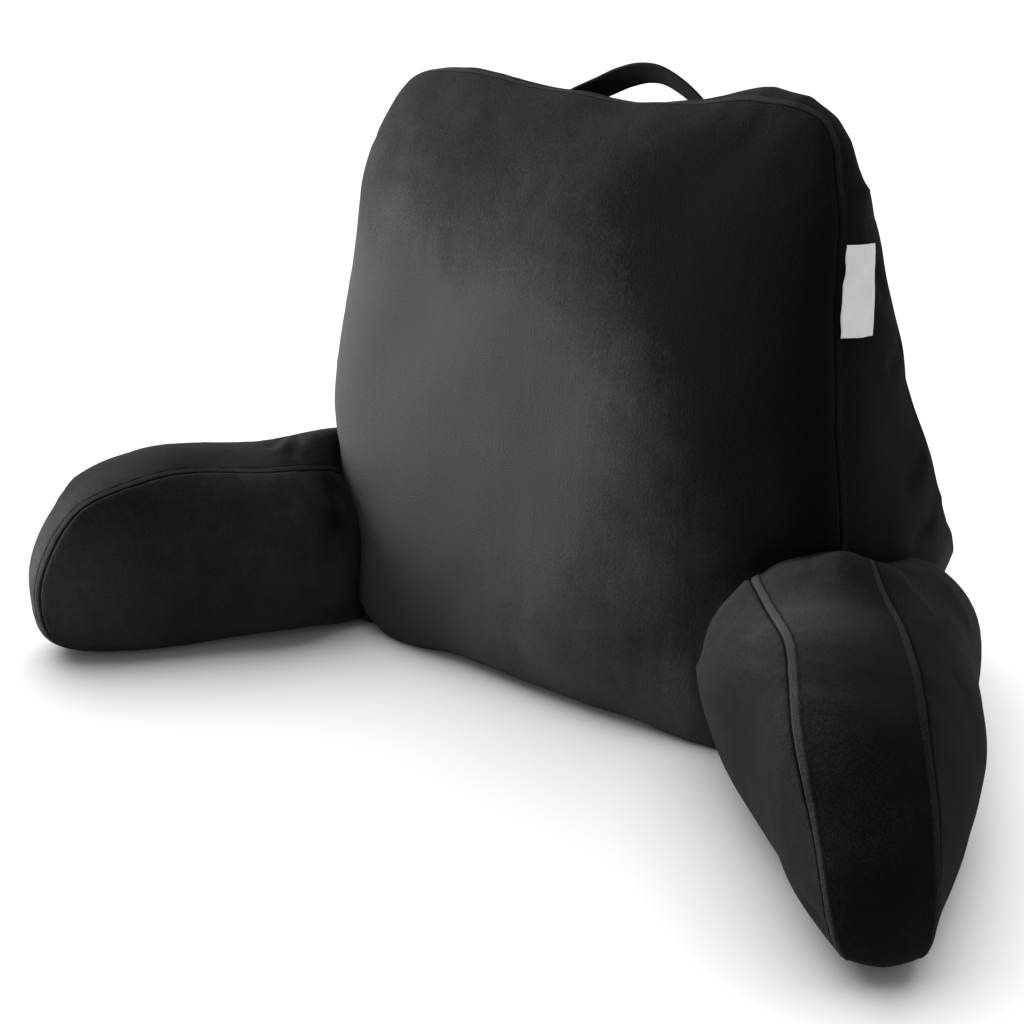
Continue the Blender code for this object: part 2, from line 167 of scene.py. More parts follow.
# --- Folds and puckers ---
FOLD_COLUMNS = ("from_point", "to_point", "half_width", "depth")
BACK_FOLDS = (
    # across the boxing strip, where the sides taper
    ((0.240, -0.014, 0.188), (0.234, 0.033, 0.197), 0.009, 0.0035),
    ((0.243, -0.001, 0.141), (0.240, 0.054, 0.137), 0.009, 0.0040),
    ((0.222, -0.037, 0.361), (0.222, -0.022, 0.330), 0.007, 0.0030),
    ((0.230, -0.028, 0.280), (0.221, 0.008, 0.292), 0.009, 0.0030),
    ((-0.240, -0.002, 0.165), (-0.236, 0.043, 0.176), 0.009, 0.0035),
    ((-0.228, -0.034, 0.296), (-0.219, 0.002, 0.310), 0.009, 0.0030),
    # over the rear upper corner
    ((0.165, -0.010, 0.470), (0.210, -0.017, 0.408), 0.034, 0.0075),
    # across the upper corners of the front panel
    ((-0.156, -0.052, 0.446), (-0.095, -0.070, 0.424), 0.012, 0.0025),
    ((-0.186, -0.061, 0.422), (-0.119, -0.089, 0.395), 0.013, 0.0025),
    ((0.144, -0.044, 0.456), (0.126, -0.071, 0.423), 0.012, 0.0025),
    ((0.175, -0.056, 0.436), (0.164, -0.078, 0.405), 0.012, 0.0020),
    # along the right side's rear edge: dips, and ridges, whose depth is below 0
    ((0.135, -0.012, 0.478), (0.195, -0.012, 0.440), 0.020, 0.0035),
    ((0.186, -0.044, 0.446), (0.205, -0.030, 0.402), 0.012, -0.0028),
    ((0.205, -0.012, 0.388), (0.222, 0.010, 0.260), 0.030, -0.0035),
    ((0.240, 0.080, 0.152), (0.229, 0.106, 0.096), 0.022, 0.0025),
    ((0.235, 0.090, 0.120), (0.224, 0.108, 0.010), 0.030, -0.0055),
    ((0.240, -0.004, 0.127), (0.234, 0.070, 0.112), 0.008, -0.0028),
)
ARM_FOLDS = {
    "arm_left": (
        # across the strip near the back
        ((-0.252, -0.165, 0.160), (-0.264, -0.133, 0.158), 0.007, 0.0030),
        ((-0.234, -0.159, 0.159), (-0.251, -0.127, 0.158), 0.006, 0.0030),
        ((-0.243, -0.162, 0.160), (-0.258, -0.130, 0.158), 0.005, -0.0014),
        # down the inner panel beside the back
        ((-0.214, -0.132, 0.152), (-0.184, -0.166, 0.094), 0.008, 0.0045),
        ((-0.208, -0.127, 0.142), (-0.190, -0.146, 0.106), 0.006, -0.0028),
        ((-0.212, -0.199, 0.146), (-0.190, -0.191, 0.094), 0.010, 0.0028),
    ),
    "arm_right": (
        # across the strip near the back, and down the inner panel beside the back
        ((0.227, -0.152, 0.158), (0.244, -0.126, 0.159), 0.008, 0.0025),
        ((0.150, -0.132, 0.155), (0.130, -0.150, 0.090), 0.035, 0.0110),
        ((0.175, -0.170, 0.140), (0.165, -0.175, 0.090), 0.009, 0.0035),
        # down the outer panel, and a pucker at the foot of the inner front seam
        ((0.345, -0.165, 0.142), (0.359, -0.163, 0.118), 0.010, 0.0010),
        ((0.327, -0.315, 0.042), (0.347, -0.331, 0.046), 0.008, 0.0040),
        # over the root, where the back's seam runs into the arm's outer one
        ((0.222, -0.120, 0.160), (0.278, -0.076, 0.156), 0.024, -0.0080),
        ((0.290, -0.080, 0.155), (0.300, -0.030, 0.120), 0.026, 0.0045),
    ),
}
# Where an arm's root is drawn towards the back's side seam: how far the cloth moves there
PULL_COLUMNS = ("from_point", "to_point", "half_width", "move")
ARM_PULLS = {
    "arm_left": (((-0.186, -0.124, 0.185), (-0.172, -0.128, 0.010), 0.052, (-0.039, 0.0425, -0.0255)),),
    "arm_right": (((0.232, -0.112, 0.152), (0.300, -0.076, 0.150), 0.028, (-0.0065, -0.0020, 0.0065)),),
}
# Patches of painted light (share above 0) and painted shade (below 0) on the velvet, laid where light and
# shade fall
PAINTED_LIGHT_COLUMNS = ("middle", "radius", "share")
PAINTED_LIGHT_PATCHES = {
    "backrest": (
        # front panel, from its left edge to its right one: mostly painted light towards the left, painted
        # shade towards the right and round the tag
        ((-0.215, -0.150, 0.250), 0.130, 0.75),
        ((-0.190, -0.190, 0.060), 0.100, 0.80),
        ((-0.150, -0.190, 0.010), 0.080, 0.90),
        ((-0.050, -0.170, 0.080), 0.120, 0.25),
        ((0.000, -0.160, 0.260), 0.120, 0.90),
        ((-0.100, -0.080, 0.460), 0.130, -0.25),
        ((0.100, -0.120, 0.380), 0.120, -0.60),
        ((0.190, -0.110, 0.300), 0.110, -0.50),
        ((0.190, -0.150, 0.150), 0.100, -0.35),
        ((0.195, -0.090, 0.400), 0.080, -0.50),
        ((0.195, -0.155, 0.060), 0.065, 0.70),
        ((0.214, -0.086, 0.320), 0.030, -0.50),
        # boxing strip at the right: painted shade over it, and two painted highlights
        ((0.240, 0.020, 0.200), 0.160, -0.65),
        ((0.209, -0.030, 0.390), 0.030, 0.50),
        ((0.232, 0.095, 0.085), 0.040, 1.00),
    ),
    "arm_left": (
        # round end and strip
        ((-0.400, -0.240, 0.130), 0.140, -0.90),
        ((-0.320, -0.160, 0.160), 0.080, -0.50),
        ((-0.240, -0.150, 0.160), 0.050, 0.25),
        ((-0.335, -0.320, 0.080), 0.070, 0.60),
        ((-0.240, -0.230, 0.060), 0.110, 0.05),
        # painted shade along a fold down the inner panel beside the back
        ((-0.208, -0.140, 0.132), 0.014, -0.60),
        ((-0.194, -0.158, 0.110), 0.014, -0.50),
    ),
    "arm_right": (
        # inner panel, strip and outer panel
        ((0.270, -0.250, 0.090), 0.120, -0.45),
        ((0.255, -0.185, 0.165), 0.045, 0.60),
        ((0.330, -0.290, 0.130), 0.110, 0.35),
        ((0.390, -0.220, 0.070), 0.150, -1.10),
    ),
}
PUCKER_SPACING = 0.013  # along a seam, from one pucker to the next
PUCKER_JITTER = 0.4  # of the spacing, to either side
PUCKER_START = 0.004  # beside the seam's middle line, where a pucker is deepest
PUCKER_SHARES = (0.1, 1.0)  # of the full depth, before squaring
PUCKER_SIGNS = (-0.6, 1.0)  # a ridge or a trough
PUCKER_WIDTHS = (0.003, 0.007)
PUCKER_LENGTHS = (0.008, 0.034)
PUCKER_SKEW = 0.5  # how far a pucker may run aside for each metre away from its seam
LUMP_LENGTHS = (0.16, 0.085, 0.045)  # wavelengths of the stuffing's unevenness
LUMP_DEPTHS = (0.0016, 0.0009, 0.0003)
LUMP_WAVES = 14
LUMP_SPREAD = (0.8, 1.4)  # a wave's length as a share of its wavelength
BACK_SEED = 11
ARM_SEEDS = {"arm_left": 23, "arm_right": 37}
ARM_SIDES = {"arm_left": -1, "arm_right": 1}

# --- Seams and stitches ---
FELLED_SHARES = {"backrest": 0.7, "arm_left": 0.1, "arm_right": 1.0}  # how much a felled seam stands out
BAND_SOFTNESS = 0.00035  # over which a felled seam's edges rise
DITCH_OFFSET = 0.0005  # from the band's edge on the panel, out to the ditch
DITCH_WIDTH = 0.0008
STITCH_OFFSET = 0.0004  # from the band's edge on the strip, in to the stitches
STITCH_WIDTH = 0.0006
STITCH_PULL = (0.7, 0.3)  # how hard the stitches pull: on average, and how much that changes along a stitch
THREAD_PLACES = (0.08, 0.3, 0.7, 0.92)  # a thread's points as shares of a stitch
THREAD_LIFTS = (-0.8, 0.6, 0.6, -0.8)  # and how far each is lifted, in radii of the thread
THREAD_SIDES = 4
THREAD_FLOOR = 0.001  # a stitch lower than this is left out
THREAD_CLEARANCE = 0.0005  # and so is an arm's stitch that is nearer to the back than this
JOINT_REACH = 0.007  # where two pieces are sewn together, they draw in over this much
JOINT_GAP = 0.0004

# --- Velvet ---
# seam, the painted light and shade, and how much the felled band stands out
VELVET_NUMBERS = ("seam", "nap", "felled")  # what a stuffed mesh keeps for the velvet at each vertex
BAND_FADE = (0.0026, 0.0036)  # from a seam's middle line, where the lighter pile of its band fades out
DITCH_LINE = 0.0037  # the painted shade in the ditch beside it on the panel, and over what it fades
DITCH_FADE = (0.0002, 0.0011)
STITCH_LINE = 0.0031  # the painted shade in the groove of its stitches on the strip
STITCH_FADE = (0.0002, 0.0009)
SHEEN_TINT = (0.80, 0.80, 0.82)
VELVET_GLOSS = 0.03

# --- Strap and tag ---
STRAP_WIDTH = 0.022
STRAP_THICKNESS = 0.003
STRAP_LEAN = math.radians(45.0)
STRAP_Y = -0.016
STRAP_LINE = (
    (-0.075, 0.4210),
    (-0.058, 0.4345),
    (-0.040, 0.4452),
    (-0.018, 0.4552),
    (0.001, 0.4636),
    (0.018, 0.4680),
    (0.031, 0.4678),
    (0.046, 0.4622),
    (0.062, 0.4520),
    (0.077, 0.4375),
    (0.087, 0.4230),
)
STRAP_STEPS = 190
STRAP_SIDES = 44
STRAP_SQUARENESS = (0.22, 0.75)  # powers that flatten its section, across it and through it
STRAP_TWIST = (0.05, 38)  # how far its lean wavers, and the wave's turn for each metre, in radians
STRAP_STITCHES = (0.74, 0.07)  # place and width of its topstitching, as shares of its half width
STRAP_STITCH_DEPTH = 0.30  # of its half thickness
STRAP_PULL = (0.75, 0.25)  # how hard its stitches pull, as for a seam

TAG_TOP_Z = 0.378
TAG_HEIGHT = 0.060
TAG_WIDTH = 0.031
TAG_THICKNESS = 0.0006
TAG_DROP = 0.005  # how much lower its free edge is than the sewn one
TAG_LIFT = 0.0010  # from the cover to its under face
TAG_CURL = 0.0026  # how far the middle of the foot curls out
TAG_CURL_TURNS = 1.15  # the curl's waves in the tag's width, of which it takes the first
TAG_SWING = 0.0050  # how far the foot hangs forward of the head
TAG_FOOT_LIFT = 0.0008  # and how far out
TAG_STEPS = (40, 72)
RIB_WAVES = 1500.0  # of its weave, down and across it
FLOAT_WAVES = 900.0

# --- Camera, floor and lights ---
IMAGE_SIDE = 1024
FOCAL_PIXELS = 1718
SENSOR_WIDTH = 36.0
CAMERA_PLACE = (0.701, -1.102, 0.682)
CAMERA_YAW = math.radians(36.87)
CAMERA_PITCH = math.radians(23.74)
CAMERA_ROLL = math.radians(-1.36)
FLOOR_SIDE = 16.0
FLOOR_DROP = 0.0004
# directions that the suns shine from, and their spreads
TOP_FROM = (-0.25, 0.1, 1.0)
TOP_SPREAD = math.radians(80)
FILL_FROM = (1.0, -0.15, 0.30)
FILL_SPREAD = math.radians(60)
# the softbox's place, the point that it faces, and its sides
KEY_PLACE = (-1.70, -0.85, 0.60)
KEY_TARGET = (0.0, -0.05, 0.22)
KEY_SIDES = (1.0, 1.4)


# --- Sizes and colours that a user would change ---
def measure(name, description, default):
    """A setting in metres."""
    return FloatProperty(name=name, description=description, default=default, unit="LENGTH")


def tint(name, description, default):
    """A colour setting."""
    return FloatVectorProperty(name=name, description=description, default=default, subtype="COLOR", size=3)


class PillowSewing(bpy.types.PropertyGroup):
    """Sizes of the seams, stitches and puckers."""

    band_half_width: measure("Band half width", "Half the width of a felled seam", 0.0033)
    band_rise: measure("Band rise", "How far a felled seam stands proud", 0.0009)
    ditch_depth: measure("Ditch depth", "Depth of the seam beside its band", 0.0014)
    stitch_depth: measure("Stitch depth", "How deep the topstitching pulls in", 0.0008)
    stitch_pitch: measure("Stitch pitch", "From one stitch to the next", 0.0032)
    thread_radius: measure("Thread radius", "Radius of the topstitching thread", 0.00022)
    pucker_depth: measure("Pucker depth", "Depth of the gathers beside a seam", 0.0011)
    joint_pinch: measure("Joint pinch", "How far arm and back draw in where they are sewn together", 0.0045)


class PillowVelvet(bpy.types.PropertyGroup):
    """Look of the velvet."""

    colour: tint("Velvet", "Colour of the pile seen from above", (0.0070, 0.0070, 0.0072))
    # The lighter velvet colour: the brushed pile's tone, and in the patches and the ramp's top the painted
    # light
    brushed: tint("Brushed velvet", "Colour where the pile lies towards the light", (0.0140, 0.0140, 0.0144))
    sheen: FloatProperty(name="Sheen", description="Strength of the pile's bright rim", default=0.02)
    grain: measure("Grain", "Size of the tufts that the pile clumps into", 0.0013)


class PillowStudio(bpy.types.PropertyGroup):
    """Floor and lights."""

    floor: tint("Floor", "Colour of the floor", (0.86, 0.86, 0.86))
    surround: FloatProperty(name="Surround", description="Strength of the even light around", default=0.40)
    top: FloatProperty(name="Top", description="Strength of the light overhead", default=3.4)
    key: FloatProperty(
        name="Key", description="Power of the softbox at the left", default=202.0, unit="POWER"
    )
    fill: FloatProperty(name="Fill", description="Strength of the light from the right", default=1.05)


# --- Shader maths ---
class Value:
    """What varies over a surface: a node's output socket, which expressions can sum and multiply."""

    def __init__(self, shader, socket):
        self.shader = shader
        self.socket = socket

    def maths(self, operation, *values):
        return self.shader.node("ShaderNodeMath", {"operation": operation}, dict(enumerate(values)))

    def __add__(self, other):
        return self.maths("ADD", self, other)

    def __radd__(self, other):
        return self.maths("ADD", other, self)

    def __sub__(self, other):
        return self.maths("SUBTRACT", self, other)

    def __rsub__(self, other):
        return self.maths("SUBTRACT", other, self)

    def __mul__(self, other):
        return self.maths("MULTIPLY", self, other)

    def __rmul__(self, other):
        return self.maths("MULTIPLY", other, self)

    def __abs__(self):
        return self.maths("ABSOLUTE", self)

    def wave(self):
        """Its sine."""
        return self.maths("SINE", self)

    def between(self, low, high):
        """0 below low and 1 above high, with a smooth step from one to the other."""
        settings = {"interpolation_type": "SMOOTHSTEP"}
        return self.shader.node("ShaderNodeMapRange", settings, {0: self, 1: low, 2: high})


class Shader:
    """A material's node tree, built from expressions."""

    def __init__(self, name):
        self.material = bpy.data.materials.new(name)
        self.material.use_nodes = True
        self.tree = self.material.node_tree
        self.surface = self.tree.nodes["Principled BSDF"]

    def node(self, kind, settings, inputs, output=0):
        """A node of any kind: its settings first, then its input sockets by number or name."""
        node = self.tree.nodes.new(kind)
        for setting, value in settings.items():
            if setting == "stops":
                set_stops(node.color_ramp, value)
            else:
                setattr(node, setting, value)
        for socket, value in inputs.items():
            self.feed(node.inputs[socket], value)
        return Value(self, node.outputs[output])

    def feed(self, socket, value):
        """Link a value to a socket, or set it there."""
        if isinstance(value, Value):
            self.tree.links.new(value.socket, socket)
        else:
            socket.default_value = value

    def set(self, **named):
        """Set or link the surface's sockets."""
        for name, value in named.items():
            self.feed(self.surface.inputs[name.replace("_", " ")], value)

    def attribute(self, name):
        """One of the mesh's own numbers."""
        return self.node("ShaderNodeAttribute", {"attribute_name": name}, {}, "Fac")

    def place(self, stretch):
        """The place on the object, with each axis stretched."""
        here = self.node("ShaderNodeTexCoord", {}, {}, "Object")
        return self.node("ShaderNodeVectorMath", {"operation": "MULTIPLY"}, {0: here, 1: stretch})

    def noise(self, size, detail=2.0, rough=0.5, stretch=(1, 1, 1), twist=0.0):
        """Cloudy noise from 0 to 1 whose largest features have the given size."""
        inputs = {"Vector": self.place(stretch), "Scale": 1 / size, "Detail": detail}
        inputs |= {"Roughness": rough, "Distortion": twist}
        return self.node("ShaderNodeTexNoise", {"noise_dimensions": "3D"}, inputs)

    def mix(self, share, first, second):
        """A colour between two others."""
        return self.node("ShaderNodeMix", {"data_type": "RGBA"}, {0: share, 6: first, 7: second}, 2)

    def ramp(self, share, stops):
        """A colour that runs through several others. Each stop is its place and its colour."""
        return self.node("ShaderNodeValToRGB", {"stops": stops}, {0: share})

    def bump(self, height, depth):
        """A bumped normal. depth is the height in metres that 1 stands for."""
        inputs = {"Strength": 1.0, "Distance": depth, "Height": height}
        return self.node("ShaderNodeBump", {}, inputs, "Normal")


def set_stops(ramp, stops):
    """Give a colour ramp its stops, each a place and a colour."""
    while len(ramp.elements) < len(stops):
        ramp.elements.new(0.5)
    for element, (place, colour) in zip(ramp.elements, stops):
        element.position = place
        element.color = colour


def shaded(colour, factor=1.0):
    """A colour as a socket takes it, darkened or lightened."""
    return (*(part * factor for part in colour), 1.0)


# --- Materials ---
def charcoal_velvet(shader):
    """Short-pile charcoal velvet: clouded nap, fine upright streaks, clumped tufts and brushed seams, with
    painted light and painted shade in patches, and painted shade in the seams' ditches and stitch grooves.
    """
    look = bpy.context.scene.pillow_velvet
    clouds = shader.noise(0.19, 3.0, 0.55, twist=0.6).between(0.38, 0.66)
    patches = shader.noise(0.055, 4.0, 0.6, twist=1.2).between(0.35, 0.70)
    streaks = shader.noise(0.010, 3.0, 0.6, stretch=(1, 1, 0.12)).between(0.3, 0.75)
    tufts = shader.noise(look.grain, 2.0, 0.7).between(0.33, 0.67)
    nap = clouds * 0.24 + patches * 0.24 + streaks * 0.16 + tufts * 0.56
    seam = shader.attribute("seam")
    band = 1 - abs(seam).between(*BAND_FADE)
    ditch = 1 - abs(seam - DITCH_LINE).between(*DITCH_FADE)
    stitch_groove_shade = 1 - abs(seam + STITCH_LINE).between(*STITCH_FADE)
    # The random nap and the seam band, plus the patches of painted light and painted shade
    brushed = nap * 0.5 + band * shader.attribute("felled") * 0.42 + shader.attribute("nap") + 0.25
    # The ramp runs from a darkened copy of the velvet colour, painted shade, to a lightened copy of the
    # lighter colour, painted light
    flat, plain = shaded(look.colour, 0.30), shaded(look.colour)
    raised, bright = shaded(look.brushed), shaded(look.brushed, 1.8)
    pile = shader.ramp(brushed, ((0.0, flat), (0.30, plain), (0.62, raised), (1.0, bright)))
    # Painted shade in the ditch beside each seam and in the groove of its stitches, a darkened copy of the
    # velvet colour
    pile = shader.mix(ditch * 0.75 + stitch_groove_shade * 0.45, pile, shaded(look.colour, 0.35))
    shader.set(Base_Color=pile, Roughness=0.97 - nap * 0.12)
    shader.set(Sheen_Weight=look.sheen, Sheen_Roughness=0.42, Sheen_Tint=shaded(SHEEN_TINT))
    shader.set(Specular_IOR_Level=VELVET_GLOSS)
    fibres = shader.noise(0.0006, 1.0, 0.5, stretch=(1, 1, 0.35))
    shader.set(Normal=shader.bump(tufts * 0.7 + fibres * 0.3 + streaks * 0.4, 0.00045))


def strap_velvet(shader):
    """The same velvet on the folded strap, darkened all over as painted shade, its nap running along the
    band.
    """
    look = bpy.context.scene.pillow_velvet
    tufts = shader.noise(look.grain, 2.0, 0.7)
    rubs = shader.noise(0.018, 3.0, 0.6, stretch=(0.3, 1, 1)).between(0.35, 0.7)
    worn = shader.attribute("edge").between(0.80, 1.0)
    nap = tufts * 0.35 + rubs * 0.35 + worn * 0.45
    # Both ends of the mix are darkened copies of the velvet's colours: painted shade
    shader.set(Base_Color=shader.mix(nap, shaded(look.colour, 0.25), shaded(look.brushed, 0.48)))
    shader.set(Roughness=0.93 - nap * 0.10)
    shader.set(Sheen_Weight=look.sheen * 0.7, Sheen_Roughness=0.4, Sheen_Tint=shaded(SHEEN_TINT))
    shader.set(Specular_IOR_Level=VELVET_GLOSS)
    shader.set(Normal=shader.bump(tufts, 0.0004))


def tag_satin(shader):
    """Bare woven satin ribbon: fine ribs across it, faint creases and a soft shine."""
    across = shader.attribute("across")
    down = shader.attribute("down")
    ribs = (down * RIB_WAVES).wave() * 0.5 + 0.5
    floats = (across * FLOAT_WAVES).wave() * 0.5 + 0.5
    creases = shader.noise(0.014, 4.0, 0.6)
    weave = ribs * 0.6 + floats * 0.4
    edge = across.between(0.92, 1.0)
    tone = weave * 0.25 + creases * 0.6 + edge * 0.3
    dull, bright = shaded((0.36, 0.36, 0.355)), shaded((0.56, 0.56, 0.555))
    shader.set(Base_Color=shader.mix(tone, dull, bright))
    shader.set(Roughness=0.52 - creases * 0.18)
    shader.set(Sheen_Weight=0.15, Sheen_Roughness=0.3, Specular_IOR_Level=0.45)
    shader.set(Normal=shader.bump(weave * 0.25 + creases, 0.00012))


def black_thread(shader):
    """Twisted black sewing thread."""
    twist = shader.noise(0.0004, 1.0, 0.5)
    dark, light = shaded((0.0020, 0.0020, 0.0020)), shaded((0.0060, 0.0060, 0.0062))
    shader.set(Base_Color=shader.mix(twist, dark, light))
    shader.set(Roughness=0.80 - twist * 0.1, Specular_IOR_Level=0.08)
    shader.set(Normal=shader.bump(twist, 0.0001))


def pale_floor(shader):
    """Plain pale floor."""
    studio = bpy.context.scene.pillow_studio
    shader.set(Base_Color=shaded(studio.floor), Roughness=0.9, Specular_IOR_Level=0.1)


def material(finish):
    """The material of a finish, built the first time that it is asked for."""
    name = finish.__name__.replace("_", " ")
    if name not in bpy.data.materials:
        finish(Shader(name))
    return bpy.data.materials[name]


# --- Short tables and the smooth curves through them ---
def rows(columns, table):
    """The rows of a table, each with its columns' names."""
    return [dict(zip(columns, row)) for row in table]


def slopes_at(knots, values):
    """Slopes of a smooth curve at its knots, each from the knot's two neighbours."""
    steps = np.diff(knots)[:, None]
    rises = np.diff(values, axis=0) / steps
    inner = (rises[:-1] * steps[1:] + rises[1:] * steps[:-1]) / (steps[:-1] + steps[1:])
    return np.vstack([rises[:1], inner, rises[-1:]])


def smooth_at(knots, values, places):
    """The smooth curve's values at the given places, held level past its ends."""
    places = np.clip(places, knots[0], knots[-1])
    slopes = slopes_at(knots, values)
    row = np.clip(np.searchsorted(knots, places, side="right") - 1, 0, len(knots) - 2)
    span = (knots[row + 1] - knots[row])[:, None]
    share = (places - knots[row])[:, None] / span
    rise = values[row + 1] - values[row]
    bend_in = slopes[row] * span - rise
    bend_out = rise - slopes[row + 1] * span
    return values[row] + share * rise + share * (1 - share) * (bend_in * (1 - share) + bend_out * share)


def lengths_along(points):
    """How far along its line each point lies."""
    return np.concatenate([[0.0], np.cumsum(np.linalg.norm(np.diff(points, axis=0), axis=1))])


def at_lengths(points, run, places):
    """Points of a line at given lengths along it."""
    return np.column_stack([np.interp(places, run, column) for column in points.T])


def closed(ring):
    """A ring of points with its first one again at the end."""
    return np.vstack([ring, ring[:1]])


def even_points(points, count, first=0, last=-1):
    """count points, evenly spread over a smooth curve from one of the given points to another."""
    knots = lengths_along(points)
    fine_count = FINE_STEPS * len(points)
    fine = smooth_at(knots, points, np.linspace(knots[first], knots[last], fine_count))
    run = lengths_along(fine)
    return at_lengths(fine, run, np.linspace(0, run[-1], count))


def back_outline():
    """The back's closed outline, counter-clockwise from the middle of the floor: x, z."""
    half = even_points(np.array(BACK_OUTLINE), BACK_STEPS // 2 + 1)
    mirrored = half[::-1] * (-1, 1)
    return np.vstack([half[:-1], mirrored[:-1]])


def arm_outline():
    """An arm's closed outline, counter-clockwise: length, z. It runs on past both ends to stay smooth."""
    overlap = 2
    table = np.array(ARM_OUTLINE)
    closed = np.vstack([table[-overlap:], table, table[: overlap + 1]])
    return even_points(closed, ARM_STEPS + 1, overlap, -overlap - 1)[:-1]


# --- Stuffed forms ---
def outward(outline):
    """Unit directions out of a counter-clockwise outline."""
    along = np.roll(outline, -1, axis=0) - np.roll(outline, 1, axis=0)
    out = np.column_stack([along[:, 1], -along[:, 0]])
    return out / np.linalg.norm(out, axis=1)[:, None]


def cross_lines(outline, pole, depth_table, depth_column, swell):
    """Dense lines across a stuffed form, from pole to pole: an array of row, step and (first, depth, z).

    The depth table is read by one column of the outline's points: 0 is the first, 1 is z. After that
    column it holds the two seams' places, the two panels' crowns and the strip's crown.
    """
    table = np.array(depth_table)
    flatness, steepness = swell
    out = outward(outline)
    from_pole = outline - pole
    radii = np.abs(from_pole).max(axis=0)
    ellipse = from_pole / np.linalg.norm(from_pole / radii, axis=1)[:, None]

    def depths(places):
        return smooth_at(table[:, 0], table[:, 1:], places[:, depth_column])

    def panel(side, ring):
        squareness = ring**PANEL_SQUARING
        places = pole + ring * (ellipse + (from_pole - ellipse) * squareness)
        here = depths(places)
        out_of_seams = here[:, side + 2] * (1 - ring**flatness) ** (1 / steepness)
        return np.column_stack([places[:, 0], here[:, side] + out_of_seams * (2 * side - 1), places[:, 1]])

    def strip(share):
        here = depths(outline)
        places = outline + out * (here[:, 4] * 4 * share * (1 - share))[:, None]
        across = here[:, 0] + (here[:, 1] - here[:, 0]) * share
        return np.column_stack([places[:, 0], across, places[:, 1]])

    shares = 1 - np.linspace(1, 0, PANEL_SAMPLES) ** 3  # crowded towards the seam, where the panel turns
    rows = [panel(0, ring) for ring in shares]
    rows += [strip(share) for share in np.linspace(0, 1, STRIP_SAMPLES)[1:-1]]
    rows += [panel(1, ring) for ring in shares[::-1]]
    return np.array(rows)


def seam_offsets():
    """Distances from a seam at which rings lie."""
    near = np.linspace(0, SEAM_NEAR, NEAR_RINGS)
    far = np.geomspace(SEAM_NEAR, SEAM_FAR, FAR_RINGS + 1)[1:]
    return np.concatenate([near, far])


def rounded_corner(line, run, seam_run, places, points):
    """Turn the cloth softly round the corner at a seam."""
    offset = places - seam_run
    inside = np.abs(offset) < CORNER_REACH
    ends = at_lengths(line, run, np.array([seam_run - CORNER_REACH, seam_run, seam_run + CORNER_REACH]))
    share = ((offset[inside] + CORNER_REACH) / (2 * CORNER_REACH))[:, None]
    points[inside] = (1 - share) ** 2 * ends[0] + 2 * share * (1 - share) * ends[1] + share**2 * ends[2]


